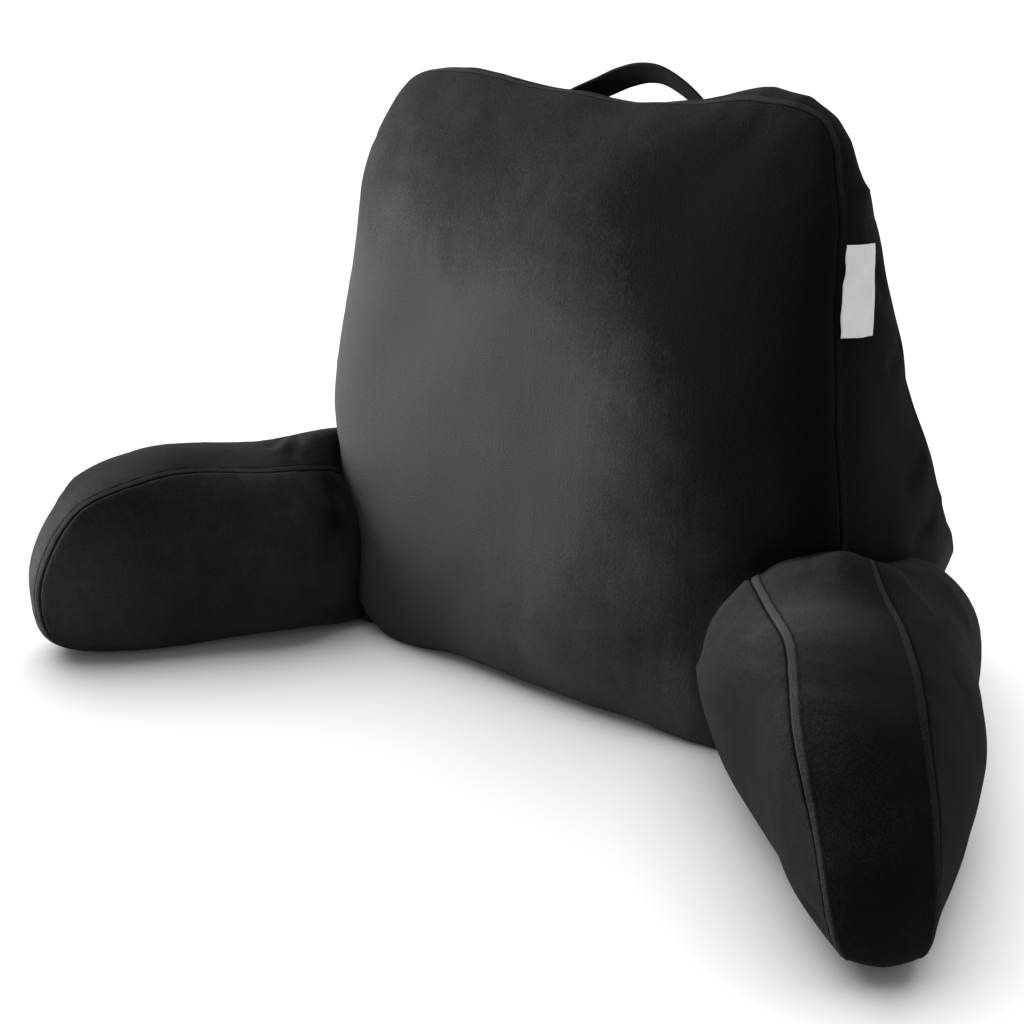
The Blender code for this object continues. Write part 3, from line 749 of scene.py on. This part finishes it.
class StuffedForm:
    """A stuffed piece as a grid of points, and what its sewing and velvet need to know.

    points is ring, step and xyz. seam is the signed distance to the nearest seam, above 0 on a panel and
    below 0 on the strip. along is the length along that seam. second is 1 nearest to the second seam.
    """

    def __init__(self, node, lines, side):
        self.node = node
        self.side = side
        panel, strip = PANEL_SAMPLES - 1, STRIP_SAMPLES - 1
        offsets = seam_offsets()
        columns, seams, seconds = [], [], []
        for step in range(lines.shape[1]):
            line = lines[:, step]
            run = lengths_along(line)
            first, second = run[panel], run[panel + strip]
            squeeze = min(1, STRIP_SHARE * (second - first) / SEAM_FAR)
            on_strip = offsets * squeeze
            places = np.concatenate([
                np.linspace(0, first - SEAM_FAR, PANEL_RINGS, endpoint=False),
                first - offsets[::-1],
                first + on_strip[1:],
                np.linspace(first + on_strip[-1], second - on_strip[-1], STRIP_RINGS + 2)[1:-1],
                second - on_strip[:0:-1],
                second + offsets,
                np.linspace(run[-1], second + SEAM_FAR, PANEL_RINGS, endpoint=False)[::-1],
            ])
            points = at_lengths(line, run, places)
            rounded_corner(line, run, first, places, points)
            rounded_corner(line, run, second, places, points)
            columns.append(points)
            to_first, to_second = first - places, places - second
            nearer_second = np.abs(to_second) < np.abs(to_first)
            seams.append(np.where(nearer_second, to_second, to_first))
            seconds.append(nearer_second)
        self.points = np.array(columns).transpose(1, 0, 2)
        self.seam = np.array(seams).T
        self.second = np.array(seconds).T
        self.along = np.zeros_like(self.seam)
        self.seam_lengths = []
        for seam_ring, mask in zip(self.seam_rings(), (~self.second, self.second)):
            run = lengths_along(closed(self.points[seam_ring]))
            self.seam_lengths.append(run[-1])
            self.along[mask] = np.broadcast_to(run[:-1], self.along.shape)[mask]

    @staticmethod
    def seam_rings():
        """The numbers of the rings that lie on the two seams."""
        across = len(seam_offsets()) - 1
        first = PANEL_RINGS + across
        return first, first + 2 * across + STRIP_RINGS + 1

    def normals(self):
        """Unit normals out of the form."""
        around = np.roll(self.points, -1, axis=1) - np.roll(self.points, 1, axis=1)
        across = np.gradient(self.points, axis=0)
        normals = np.cross(across, around) * self.side
        for pole, beside in ((0, 1), (-1, -2)):
            normals[pole] = normals[beside].mean(axis=0)
        return normals / np.maximum(np.linalg.norm(normals, axis=2), 1e-12)[..., None]

    def press(self, depth):
        """Move the cloth inwards by a depth at each point."""
        self.points = self.points - self.normals() * depth[..., None]

    def rest_on_floor(self):
        """Flatten what reaches below the floor."""
        self.points[..., 2] = np.maximum(self.points[..., 2], 0)

    def nap(self):
        """How much painted light lies on each point, and below 0 how much painted shade."""
        total = np.zeros_like(self.seam)
        for patch in rows(PAINTED_LIGHT_COLUMNS, PAINTED_LIGHT_PATCHES[self.node]):
            away = np.linalg.norm(self.points - patch["middle"], axis=-1) / patch["radius"]
            total += patch["share"] * np.exp(-(away**2))
        return total

    def mesh(self, name):
        """A closed mesh that carries the velvet's numbers."""
        rings, steps = self.points.shape[:2]
        inner = self.points[1:-1].reshape(-1, 3)
        vertices = np.vstack([inner, self.points[0, :1], self.points[-1, :1]])
        quads = quads_between(rings - 2, steps)[:, :: -self.side]
        first_pole, last_pole = len(inner), len(inner) + 1
        last = (rings - 3) * steps
        step = np.arange(steps)
        following = (step + 1) % steps
        near = np.column_stack([np.full(steps, first_pole), following, step])[:, :: -self.side]
        far = np.column_stack([np.full(steps, last_pole), last + step, last + following])[:, :: -self.side]
        mesh = bpy.data.meshes.new(name)
        mesh.from_pydata(vertices.tolist(), [], quads.tolist() + near.tolist() + far.tolist())
        felled = np.full_like(self.seam, FELLED_SHARES[self.node])
        for attribute, grid in zip(VELVET_NUMBERS, (self.seam, self.nap(), felled)):
            values = np.concatenate([grid[1:-1].ravel(), grid[0, :1], grid[-1, :1]])
            store(mesh, attribute, values)
        return mesh


def quads_between(rings, steps):
    """The faces between each of some rings of points and the next ring."""
    low = np.arange(rings - 1)[:, None] * steps
    step = np.arange(steps)
    following = (step + 1) % steps
    corners = (low + step, low + following, low + steps + following, low + steps + step)
    return np.stack(corners, axis=-1).reshape(-1, 4)


def store(mesh, name, values):
    """Keep one number for each vertex in the mesh."""
    attribute = mesh.attributes.new(name, "FLOAT", "POINT")
    attribute.data.foreach_set("value", np.asarray(values, np.float32))


def stored(mesh, name):
    """Read the numbers back."""
    values = np.zeros(len(mesh.vertices), np.float32)
    mesh.attributes[name].data.foreach_get("value", values)
    return values


def back_form():
    """The back before any fold."""
    lines = cross_lines(back_outline(), np.array(BACK_POLE), BACK_DEPTH, 1, BACK_SWELL)
    x, depth, height = lines[..., 0], lines[..., 1], lines[..., 2]
    slope = np.interp(x, BACK_DROP_PLACES, BACK_DROPS) * np.interp(height, BACK_DROP_HEIGHTS, (0, 1))
    height -= slope * np.maximum(depth - BACK_DROP_FROM, 0)
    return StuffedForm("backrest", lines - (0, BACK_MIDDLE_Y, 0), 1)


def arm_form(node):
    """One arm before any fold, its root drawn towards the seam that holds it."""
    side = ARM_SIDES[node]
    lines = cross_lines(arm_outline(), np.array(ARM_POLE), ARM_DEPTH, 0, ARM_SWELL)
    length, across, height = lines[..., 0], lines[..., 1], lines[..., 2]
    table = np.array(ARM_SET)
    settings = smooth_at(table[:, 0], table[:, 1:], length.ravel())
    tilt, tuck, tuck_height = settings.T.reshape(3, *length.shape)
    across = across * (1 - tuck * np.exp(-height / tuck_height))
    height = height * (1 - tilt * across / ARM_HEIGHT)
    across = across - ARM_LEAN * (height - ARM_LEAN_HEIGHT)
    x = ARM_ROOT[0] + length * math.sin(ARM_SPLAY) + across * math.cos(ARM_SPLAY)
    y = ARM_ROOT[1] - length * math.cos(ARM_SPLAY) + across * math.sin(ARM_SPLAY)
    lines = np.stack([side * x, y - BACK_MIDDLE_Y, height], axis=-1)
    for pull in rows(PULL_COLUMNS, ARM_PULLS[node]):
        lines = lines + nearness(lines, pull)[..., None] * pull["move"]
    return StuffedForm(node, lines, side)


# --- Unevenness, folds, puckers and seams ---
def lumps(points, wavelength, random):
    """Smooth unevenness of about -1 to 1: a sum of waves in random directions."""
    total = np.zeros(points.shape[:-1])
    for _ in range(LUMP_WAVES):
        direction = random.normal(size=3)
        direction /= np.linalg.norm(direction)
        length = wavelength * random.uniform(*LUMP_SPREAD)
        total += np.sin(points @ direction * math.tau / length + random.uniform(0, math.tau))
    return total / math.sqrt(LUMP_WAVES)


def nearness(points, row):
    """1 on the line of a fold or pull, fading out to its sides and towards its ends."""
    start = np.array(row["from_point"])
    span = np.array(row["to_point"]) - start
    share = np.clip((points - start) @ span / (span @ span), 0, 1)
    away = np.linalg.norm(points - start - share[..., None] * span, axis=-1) / row["half_width"]
    return (1 - (2 * share - 1) ** 4) * np.exp(-(away**2))


def fold_depth(points, folds):
    """Depth of soft troughs, below 0 on ridges."""
    depth = np.zeros(points.shape[:-1])
    for fold in rows(FOLD_COLUMNS, folds):
        depth += fold["depth"] * nearness(points, fold)
    return depth


def pucker_depth(form, depth, random):
    """Small gathers that run out from the seams, each of its own width, length and slant."""
    total = np.zeros_like(form.seam)
    for mask, seam_length in ((~form.second, form.seam_lengths[0]), (form.second, form.seam_lengths[1])):
        count = int(seam_length / PUCKER_SPACING)
        places = np.arange(count) + random.uniform(-PUCKER_JITTER, PUCKER_JITTER, count)
        for place in places * PUCKER_SPACING:
            width = random.uniform(*PUCKER_WIDTHS)
            reach = random.uniform(*PUCKER_LENGTHS)
            side = random.choice((-1, 1))
            skew = random.uniform(-PUCKER_SKEW, PUCKER_SKEW)
            strength = depth * random.uniform(*PUCKER_SHARES) ** 2 * random.choice(PUCKER_SIGNS)
            away = form.seam * side
            offset = form.along - place - skew * away
            offset = (offset + seam_length / 2) % seam_length - seam_length / 2
            rise = np.clip(away / PUCKER_START, 0, 1)
            fade = np.exp(-np.clip(away - PUCKER_START, 0, None) / reach)
            total += np.where(mask, strength * rise * fade * np.exp(-((offset / width) ** 2)), 0)
    return total


def sew(form):
    """Press the felled seams into a form: a raised band between a ditch and a row of stitches."""
    sewing = bpy.context.scene.pillow_sewing
    half = sewing.band_half_width
    rise = sewing.band_rise * FELLED_SHARES[form.node]
    band = 1 / (1 + np.exp((np.abs(form.seam) - half) / BAND_SOFTNESS))
    ditch = np.exp(-(((form.seam - half - DITCH_OFFSET) / DITCH_WIDTH) ** 2))
    pull = STITCH_PULL[0] + STITCH_PULL[1] * np.cos(form.along * math.tau / sewing.stitch_pitch)
    stitches = np.exp(-(((form.seam + half - STITCH_OFFSET) / STITCH_WIDTH) ** 2)) * pull
    form.press(sewing.ditch_depth * ditch + sewing.stitch_depth * stitches - rise * band)


def stitch_mesh(name, form):
    """Topstitching: a short slack thread for each stitch, lying in the groove of both seams."""
    sewing = bpy.context.scene.pillow_sewing
    normals = form.normals()
    groove = sewing.band_half_width - STITCH_OFFSET
    mesh = bpy.data.meshes.new(name)
    with edited(mesh) as bm:
        for seam_ring, direction in zip(form.seam_rings(), (1, -1)):
            offsets = np.abs(form.seam[seam_ring : seam_ring + direction * NEAR_RINGS : direction, 0])
            ring = seam_ring + direction * int(np.argmin(np.abs(offsets - groove)))
            line, ups = closed(form.points[ring]), closed(normals[ring])
            run = lengths_along(line)
            for start in np.arange(0, run[-1] - sewing.stitch_pitch, sewing.stitch_pitch):
                places = start + np.array(THREAD_PLACES) * sewing.stitch_pitch
                points = at_lengths(line, run, places)
                if points[:, 2].min() < THREAD_FLOOR:
                    continue
                up = at_lengths(ups, run, places)
                lift = np.array(THREAD_LIFTS)[:, None] * sewing.thread_radius
                add_thread(bm, points + up * lift, up, sewing.thread_radius)
    return mesh


def add_thread(bm, points, ups, radius):
    """One stitch: a four-sided thread through a few points, closed at both ends."""
    along = np.gradient(points, axis=0)
    side = np.cross(along, ups)
    side /= np.linalg.norm(side, axis=1)[:, None]
    rings = []
    for point, up, aside in zip(points, ups, side):
        corners = (up, aside, -up, -aside)
        rings.append([bm.verts.new(point + corner * radius) for corner in corners])
    for ring, following in zip(rings, rings[1:]):
        for i in range(THREAD_SIDES):
            j = (i + 1) % THREAD_SIDES
            bm.faces.new((ring[i], ring[j], following[j], following[i]))
    bm.faces.new(rings[0][::-1])
    bm.faces.new(rings[-1])


# --- Objects ---
@contextmanager
def edited(mesh):
    """A mesh opened for editing, and written back at the end."""
    bm = bmesh.new()
    bm.from_mesh(mesh)
    yield bm
    bm.to_mesh(mesh)
    bm.free()


def add_object(name, data):
    """A new object in the scene."""
    thing = bpy.data.objects.new(name, data)
    bpy.context.collection.objects.link(thing)
    return thing


def add_piece(name, mesh, finish):
    """A smooth-shaded piece of one finish that rides on the pillow."""
    mesh.materials.append(material(finish))
    mesh.shade_smooth()
    piece = add_object(name, mesh)
    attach(piece, ROOT)
    return piece


def tree_of(mesh):
    """What finds the nearest point on a mesh."""
    return BVHTree.FromPolygons([v.co for v in mesh.vertices], [p.vertices[:] for p in mesh.polygons])


def outside_distance(points, tree):
    """How far each point is outside a closed surface, and below 0 inside it."""
    flat = points.reshape(-1, 3)
    distances = np.empty(len(flat))
    for row, point in enumerate(flat):
        near, normal, _, distance = tree.find_nearest(Vector(point))
        inside = (Vector(point) - near).dot(normal) < 0
        distances[row] = -distance if inside else distance
    return distances.reshape(points.shape[:-1])


def pinch(form, tree, depth, reach):
    """Draw a form in where it meets another that it is sewn to."""
    form.press(depth * np.exp(-np.clip(outside_distance(form.points, tree), 0, None) / reach))


def soften(form, folds, seed):
    """Give a form its unevenness, folds and puckers."""
    random = np.random.default_rng(seed)
    depth = fold_depth(form.points, folds)
    for wavelength, lump in zip(LUMP_LENGTHS, LUMP_DEPTHS):
        depth += lump * lumps(form.points, wavelength, random)
    depth += pucker_depth(form, bpy.context.scene.pillow_sewing.pucker_depth, random)
    form.press(depth)


def finished_back():
    """The back, drawn in where the arms are sewn to it."""
    form = back_form()
    pinch_depth = bpy.context.scene.pillow_sewing.joint_pinch
    soften(form, BACK_FOLDS, BACK_SEED)
    for node in ARM_SIDES:
        pinch(form, tree_of(arm_form(node).mesh("arm guide")), pinch_depth, JOINT_REACH)
    form.rest_on_floor()
    sew(form)
    form.rest_on_floor()
    return form


def cut_by(piece, other, gap):
    """Cut away what lies inside another piece grown by a gap, and give the cut mesh its numbers again."""
    whole = piece.data
    cutter = add_object("cutter", other.data.copy())
    with edited(cutter.data) as bm:
        bm.normal_update()
        for vertex in bm.verts:
            vertex.co += vertex.normal * gap
    modifier = piece.modifiers.new("sewn", "BOOLEAN")
    modifier.operation = "DIFFERENCE"
    modifier.solver = "MANIFOLD"
    modifier.object = cutter
    evaluated = piece.evaluated_get(bpy.context.evaluated_depsgraph_get())
    cut = bpy.data.meshes.new_from_object(evaluated)
    piece.modifiers.clear()
    bpy.data.objects.remove(cutter)
    lookup = KDTree(len(whole.vertices))
    for vertex in whole.vertices:
        lookup.insert(vertex.co, vertex.index)
    lookup.balance()
    nearest = [lookup.find(vertex.co)[1] for vertex in cut.vertices]
    for name in VELVET_NUMBERS:
        values = stored(whole, name)[nearest]
        if name in cut.attributes:
            cut.attributes.remove(cut.attributes[name])
        store(cut, name, values)
    piece.data = cut


class PILLOW_OT_stuff_back(bpy.types.Operator):
    """Make the stuffed back with its front panel, rear panel, boxing strip and seams"""

    bl_idname = "pillow.stuff_back"
    bl_label = "Stuff the back"

    def execute(self, context):
        form = finished_back()
        back = add_piece("velvet_back", form.mesh("velvet_back"), charcoal_velvet)
        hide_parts("backrest")
        add_piece("back_stitching", stitch_mesh("back_stitching", form), black_thread)
        return {"FINISHED"}


class PILLOW_OT_stuff_arms(bpy.types.Operator):
    """Make the two stuffed arms and sew them to the back"""

    bl_idname = "pillow.stuff_arms"
    bl_label = "Stuff the arms"

    def execute(self, context):
        back = bpy.data.objects["velvet_back"]
        back_tree = tree_of(back_form().mesh("back guide"))
        visible_tree = tree_of(back.data)
        for node in ARM_SIDES:
            form = arm_form(node)
            soften(form, ARM_FOLDS[node], ARM_SEEDS[node])
            pinch(form, back_tree, context.scene.pillow_sewing.joint_pinch, JOINT_REACH)
            form.rest_on_floor()
            sew(form)
            form.rest_on_floor()
            arm = add_piece(f"velvet_{node}", form.mesh(node), charcoal_velvet)
            cut_by(arm, back, JOINT_GAP)
            arm.data.shade_smooth()
            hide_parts(node)
            stitches = stitch_mesh(f"{node}_stitching", form)
            drop_inside(stitches, visible_tree)
            add_piece(f"{node}_stitching", stitches, black_thread)
        return {"FINISHED"}


def drop_inside(mesh, tree):
    """Drop each stitch that reaches into a closed surface or touches it."""
    corners = THREAD_SIDES * len(THREAD_PLACES)
    points = np.array([vertex.co for vertex in mesh.vertices])
    outside = outside_distance(points, tree).reshape(-1, corners).min(axis=1) > THREAD_CLEARANCE
    with edited(mesh) as bm:
        bm.verts.ensure_lookup_table()
        hidden = [bm.verts[i] for i in np.flatnonzero(~np.repeat(outside, corners))]
        bmesh.ops.delete(bm, geom=hidden, context="VERTS")


class PILLOW_OT_sew_strap(bpy.types.Operator):
    """Make the carrying strap, a folded and topstitched band that arches over the top edge"""

    bl_idname = "pillow.sew_strap"
    bl_label = "Sew on the strap"

    def execute(self, context):
        line = even_points(np.array(STRAP_LINE), STRAP_STEPS)
        along = np.gradient(line, axis=0)
        along /= np.linalg.norm(along, axis=1)[:, None]
        run = lengths_along(line)
        pitch = context.scene.pillow_sewing.stitch_pitch
        angle = np.linspace(0, math.tau, STRAP_SIDES, endpoint=False)
        across, through = (
            np.sign(part) * np.abs(part) ** power
            for part, power in zip((np.cos(angle), np.sin(angle)), STRAP_SQUARENESS)
        )
        groove = np.exp(-(((np.abs(across) - STRAP_STITCHES[0]) / STRAP_STITCHES[1]) ** 2))
        front = np.array((0, -1, 0))
        vertices, edges = [], []
        for (x, z), (along_x, along_z), place in zip(line, along, run):
            middle = np.array((x, STRAP_Y, z))
            up = np.array((-along_z, 0, along_x))
            lean = STRAP_LEAN + STRAP_TWIST[0] * math.sin(place * STRAP_TWIST[1])
            wide = up * math.cos(lean) + front * math.sin(lean)
            thick = np.cross((along_x, 0, along_z), wide)
            pull = STRAP_PULL[0] + STRAP_PULL[1] * math.cos(place * math.tau / pitch)
            half = STRAP_THICKNESS / 2 * (1 - STRAP_STITCH_DEPTH * groove * pull)
            for w, t, h in zip(across, through, half):
                vertices.append(middle + wide * w * STRAP_WIDTH / 2 + thick * t * h)
                edges.append(abs(w))
        mesh = tube_mesh("velvet_strap", np.array(vertices).reshape(STRAP_STEPS, STRAP_SIDES, 3))
        store(mesh, "edge", edges)
        strap = add_piece("velvet_strap", mesh, strap_velvet)
        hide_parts("carry_handle")
        return {"FINISHED"}


def tube_mesh(name, rings):
    """A closed mesh over rings of points with flat caps at both ends."""
    count, sides = rings.shape[:2]
    side = np.arange(sides)
    caps = [side[::-1].tolist(), ((count - 1) * sides + side).tolist()]
    mesh = bpy.data.meshes.new(name)
    mesh.from_pydata(rings.reshape(-1, 3).tolist(), [], quads_between(count, sides).tolist() + caps)
    with edited(mesh) as bm:
        bmesh.ops.recalc_face_normals(bm, faces=bm.faces)
    return mesh


class PILLOW_OT_sew_tag(bpy.types.Operator):
    """Make the bare satin tag, caught along one long edge in the front seam"""

    bl_idname = "pillow.sew_tag"
    bl_label = "Sew in the tag"

    def execute(self, context):
        tree = tree_of(bpy.data.objects["velvet_back"].data)
        table = np.array(BACK_DEPTH)
        across_steps, down_steps = TAG_STEPS
        band = context.scene.pillow_sewing.band_half_width
        rings, acrosses, downs = [], [], []
        for i in range(down_steps + 1):
            down = i / down_steps
            height = TAG_TOP_Z - down * TAG_HEIGHT
            seam_y = smooth_at(table[:, 0], table[:, 1:2], np.array([height]))[0, 0] - BACK_MIDDLE_Y
            under, over = [], []
            for j in range(across_steps + 1):
                across = j / across_steps
                y = seam_y + band + across * TAG_WIDTH
                z = height - TAG_DROP * across
                hit, normal, _, _ = tree.ray_cast(Vector((1, y, z)), Vector((-1, 0, 0)))
                wave = math.tau * min(1, across * TAG_CURL_TURNS)
                curl = TAG_CURL * down**4 * (1 - math.cos(wave)) / 2
                hung = hit + Vector((TAG_FOOT_LIFT * down, -TAG_SWING * down**1.5, 0))
                under.append(hung + normal * (TAG_LIFT + curl))
                over.append(hung + normal * (TAG_LIFT + curl + TAG_THICKNESS))
                acrosses.append(across)
            acrosses += acrosses[-across_steps - 1 :][::-1]
            downs += [down] * (2 * across_steps + 2)
            rings.append(under + over[::-1])
        mesh = tube_mesh("satin_tag", np.array(rings))
        store(mesh, "across", acrosses)
        store(mesh, "down", downs)
        tag = add_piece("satin_tag", mesh, tag_satin)
        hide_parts("side_tag")
        return {"FINISHED"}


class PILLOW_OT_stage(bpy.types.Operator):
    """Lay the pale floor, and set the camera and the soft lights"""

    bl_idname = "pillow.stage"
    bl_label = "Set the stage"

    def execute(self, context):
        studio = context.scene.pillow_studio
        context.scene.view_settings.view_transform = "Standard"
        floor = add_floor()
        add_camera(context.scene)
        surround = bpy.data.worlds.new("studio")
        surround.use_nodes = True
        background = surround.node_tree.nodes["Background"]
        background.inputs["Color"].default_value = (1, 1, 1, 1)
        background.inputs["Strength"].default_value = studio.surround
        context.scene.world = surround
        add_sun("top", TOP_FROM, TOP_SPREAD, studio.top)
        softbox = add_softbox("key", KEY_PLACE, KEY_TARGET, KEY_SIDES, studio.key)
        fill = add_sun("fill", FILL_FROM, FILL_SPREAD, studio.fill)
        for light in (softbox, fill):
            keep_off(light, floor)
        return {"FINISHED"}


def add_floor():
    """The floor, a hair below the pillow."""
    half = FLOOR_SIDE / 2
    corners = [(-half, -half), (half, -half), (half, half), (-half, half)]
    mesh = bpy.data.meshes.new("floor")
    mesh.from_pydata([(x, y, -FLOOR_DROP) for x, y in corners], [], [(0, 1, 2, 3)])
    mesh.materials.append(material(pale_floor))
    floor = add_object("floor", mesh)
    return floor


def add_camera(scene):
    """The camera at the photograph's viewpoint."""
    sight = Vector((
        -math.sin(CAMERA_YAW) * math.cos(CAMERA_PITCH),
        math.cos(CAMERA_YAW) * math.cos(CAMERA_PITCH),
        -math.sin(CAMERA_PITCH),
    ))
    level = Vector((math.cos(CAMERA_YAW), math.sin(CAMERA_YAW), 0))
    upright = level.cross(sight)
    right = level * math.cos(CAMERA_ROLL) + upright * math.sin(CAMERA_ROLL)
    up = upright * math.cos(CAMERA_ROLL) - level * math.sin(CAMERA_ROLL)
    data = bpy.data.cameras.new("camera")
    data.sensor_width = SENSOR_WIDTH
    data.lens = FOCAL_PIXELS * SENSOR_WIDTH / IMAGE_SIDE
    camera = add_object("camera", data)
    turn = Matrix((right, up, -sight)).transposed()
    camera.matrix_world = Matrix.Translation(CAMERA_PLACE) @ turn.to_4x4()
    scene.camera = camera


def add_sun(name, direction, spread, strength):
    """A soft light so large and far that it falls evenly over everything."""
    data = bpy.data.lights.new(name, "SUN")
    data.angle = spread
    data.energy = strength
    return place_light(name, data, (0, 0, 0), direction)


def add_softbox(name, place, target, sides, power):
    """A near rectangular light that faces a point."""
    data = bpy.data.lights.new(name, "AREA")
    data.shape = "RECTANGLE"
    data.size, data.size_y = sides
    data.energy = power
    return place_light(name, data, place, Vector(place) - Vector(target))


def place_light(name, data, place, direction):
    """A light that shines from a direction."""
    light = add_object(name, data)
    light.location = place
    light.rotation_mode = "QUATERNION"
    light.rotation_quaternion = Vector(direction).to_track_quat("Z", "Y")
    return light


def keep_off(light, thing):
    """Shade a thing from a light, as a flag does in a studio."""
    shaded_things = bpy.data.collections.new(f"out of the {light.name} light")
    shaded_things.objects.link(thing)
    shaded_things.collection_objects[0].light_linking.link_state = "EXCLUDE"
    light.light_linking.receiver_collection = shaded_things


class PILLOW_PT_panel(bpy.types.Panel):
    """The pillow's steps and sizes."""

    bl_idname = "PILLOW_PT_panel"
    bl_label = "Reading pillow"
    bl_space_type = "VIEW_3D"
    bl_region_type = "UI"
    bl_category = "Pillow"

    def draw(self, context):
        for operator in OPERATORS:
            self.layout.operator(operator.bl_idname)
        for group in (context.scene.pillow_sewing, context.scene.pillow_velvet, context.scene.pillow_studio):
            box = self.layout.box()
            for name in group.__annotations__:
                box.prop(group, name)


GROUPS = {"pillow_sewing": PillowSewing, "pillow_velvet": PillowVelvet, "pillow_studio": PillowStudio}
OPERATORS = (
    PILLOW_OT_stage,
    PILLOW_OT_stuff_back,
    PILLOW_OT_stuff_arms,
    PILLOW_OT_sew_strap,
    PILLOW_OT_sew_tag,
)


def register():
    for cls in (*GROUPS.values(), *OPERATORS, PILLOW_PT_panel):
        bpy.utils.register_class(cls)
    for name, group in GROUPS.items():
        setattr(bpy.types.Scene, name, PointerProperty(type=group))


def unregister():
    for name in GROUPS:
        delattr(bpy.types.Scene, name)
    for cls in (PILLOW_PT_panel, *reversed(OPERATORS), *reversed(GROUPS.values())):
        bpy.utils.unregister_class(cls)


def main():
    register()
    bpy.ops.pillow.stage()
    bpy.ops.pillow.stuff_back()
    bpy.ops.pillow.stuff_arms()
    bpy.ops.pillow.sew_strap()
    bpy.ops.pillow.sew_tag()


if __name__ == "__main__":
    main()
